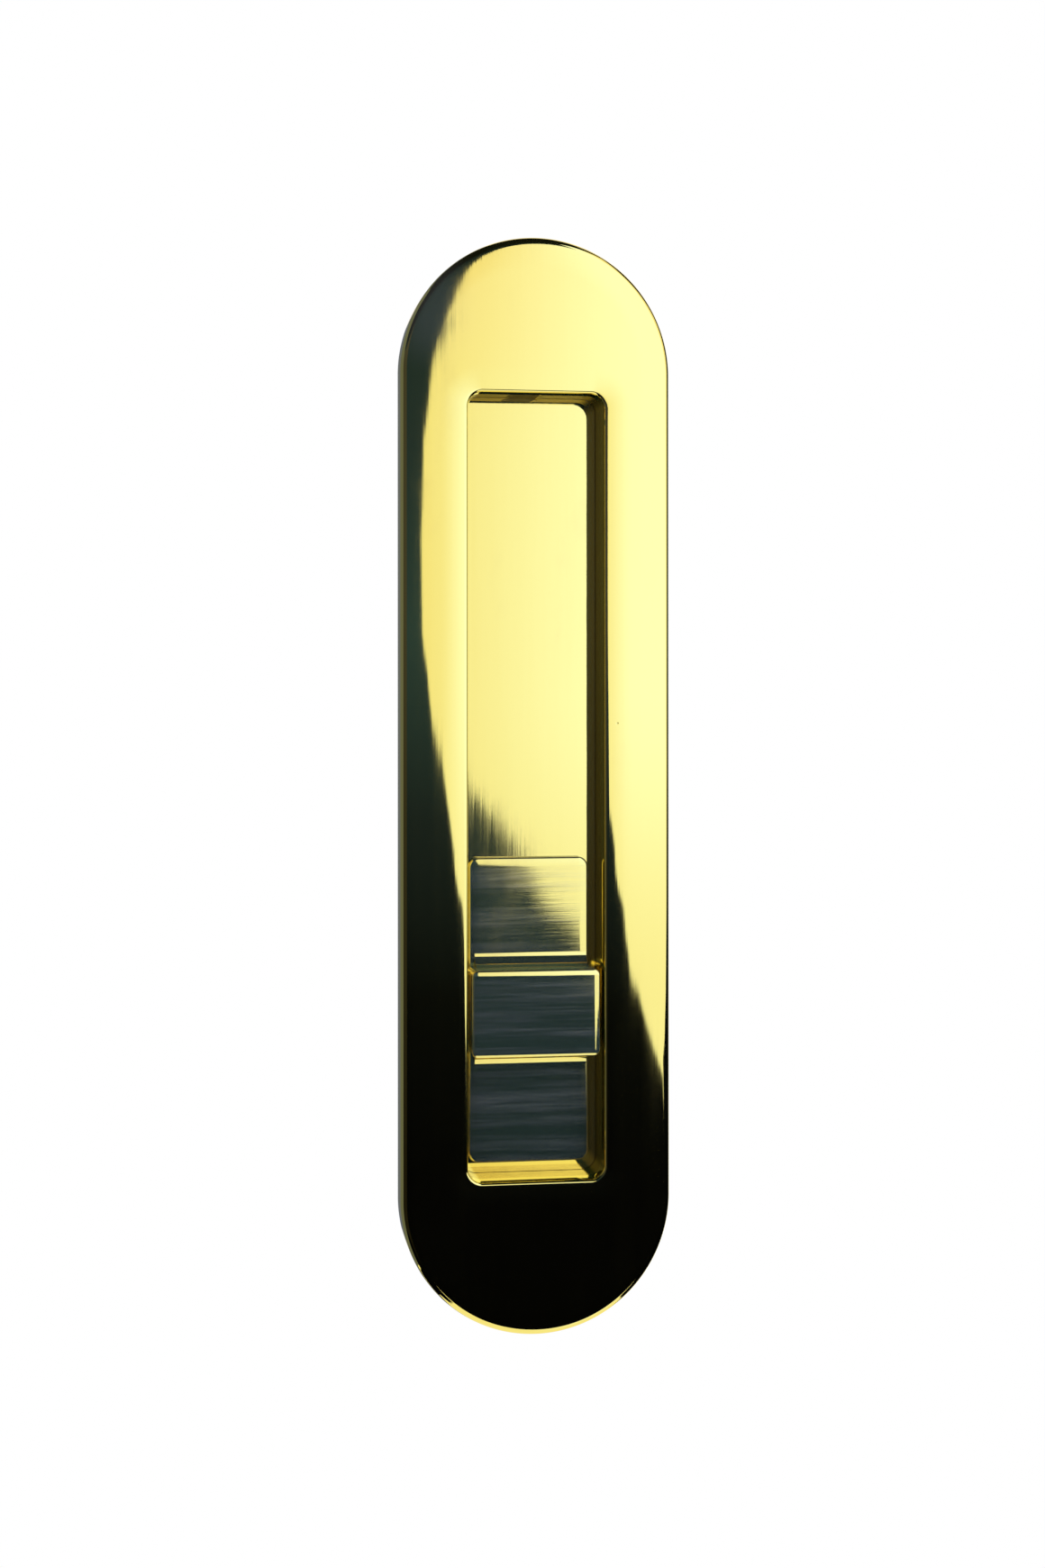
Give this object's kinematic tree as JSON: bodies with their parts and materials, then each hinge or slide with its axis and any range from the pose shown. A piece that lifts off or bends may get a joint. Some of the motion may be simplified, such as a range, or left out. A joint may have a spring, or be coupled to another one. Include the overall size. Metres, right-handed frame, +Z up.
{
  "type": "pocket door pull",
  "caption": "Flush pull for a pocket door: a long round-ended brass plate with an oblong finger recess and a stepped thumb slide in it.",
  "frame": {"origin": "middle of the face plate's back face, which lies on the door", "axes": "+Z up along the plate, the face looks towards -Y, +Y goes into the door, +X right"},
  "size_m": [0.0508, 0.0288, 0.2032],
  "materials": {
    "plate_brass": "polished, with fine lengthwise polishing lines",
    "wall_brass": "drawn strip, lightly polished",
    "floor_brass": "polished, with fine lengthwise polishing lines",
    "slide_brass": "polished, with fine crosswise polishing lines",
    "carrier_brass": "milled, unpolished",
    "rail_brass": "drawn bar, unpolished",
    "cover_brass": "sheet, unpolished",
    "post_brass": "turned",
    "screw_steel": "zinc plated",
    "pin_steel": "turned steel",
    "spring_steel": "blued spring strip"
  },
  "bodies": {
    "body": {"face_plate": "plate_brass", "cup_wall": "wall_brass", "cup_floor": "floor_brass", "guide_rail_left": "rail_brass", "guide_rail_right": "rail_brass", "guide_cover": "cover_brass", "cover_screw_1": "screw_steel", "cover_screw_2": "screw_steel", "cover_screw_3": "screw_steel", "cover_screw_4": "screw_steel", "fixing_post_top": "post_brass", "fixing_post_bottom": "post_brass"},
    "slide": {"thumb_slide": "slide_brass", "slide_carrier": "carrier_brass", "carrier_screw_upper": "screw_steel", "carrier_screw_lower": "screw_steel", "drive_pin": "pin_steel", "leaf_spring": "spring_steel"}
  },
  "joints": [
    {"name": "slide_travel", "type": "slide", "parent": "body", "child": "slide", "axis": [0, 0, 1], "range_m": [0, 0.012]}
  ]
}
